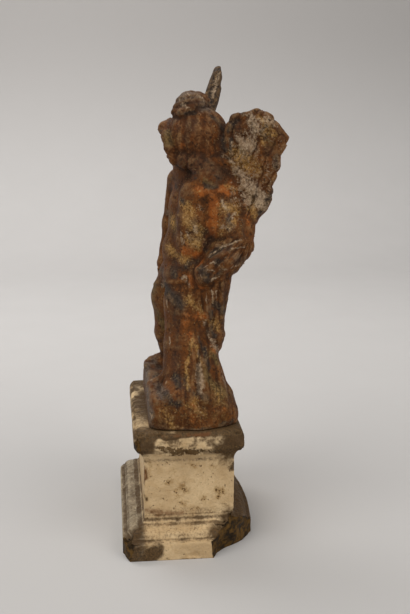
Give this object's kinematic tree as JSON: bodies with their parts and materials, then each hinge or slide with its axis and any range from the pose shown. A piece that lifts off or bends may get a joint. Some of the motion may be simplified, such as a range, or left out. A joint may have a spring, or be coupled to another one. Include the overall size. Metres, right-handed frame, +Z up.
{
  "type": "terracotta eros statuette",
  "caption": "Standing winged boy of worn fired clay with a cloth over the forearm and a rocky support, on a moulded rectangular marble plinth.",
  "frame": {"origin": "middle of the plinth's underside, below the middle of the plinth's die", "axes": "+Z up; the figure's body faces -Y and its left side is +X, so the plinth's long side runs along X"},
  "size_m": [0.12, 0.0918, 0.2691],
  "materials": {
    "terracotta": "unglazed fired clay, rusty brown, with sooty, ochre and whitish crusts",
    "marble": "old cream marble, honed and worn, with brown stains and pits"
  },
  "bodies": {
    "root": {"statuette": "terracotta", "plinth": "marble"}
  },
  "joints": []
}
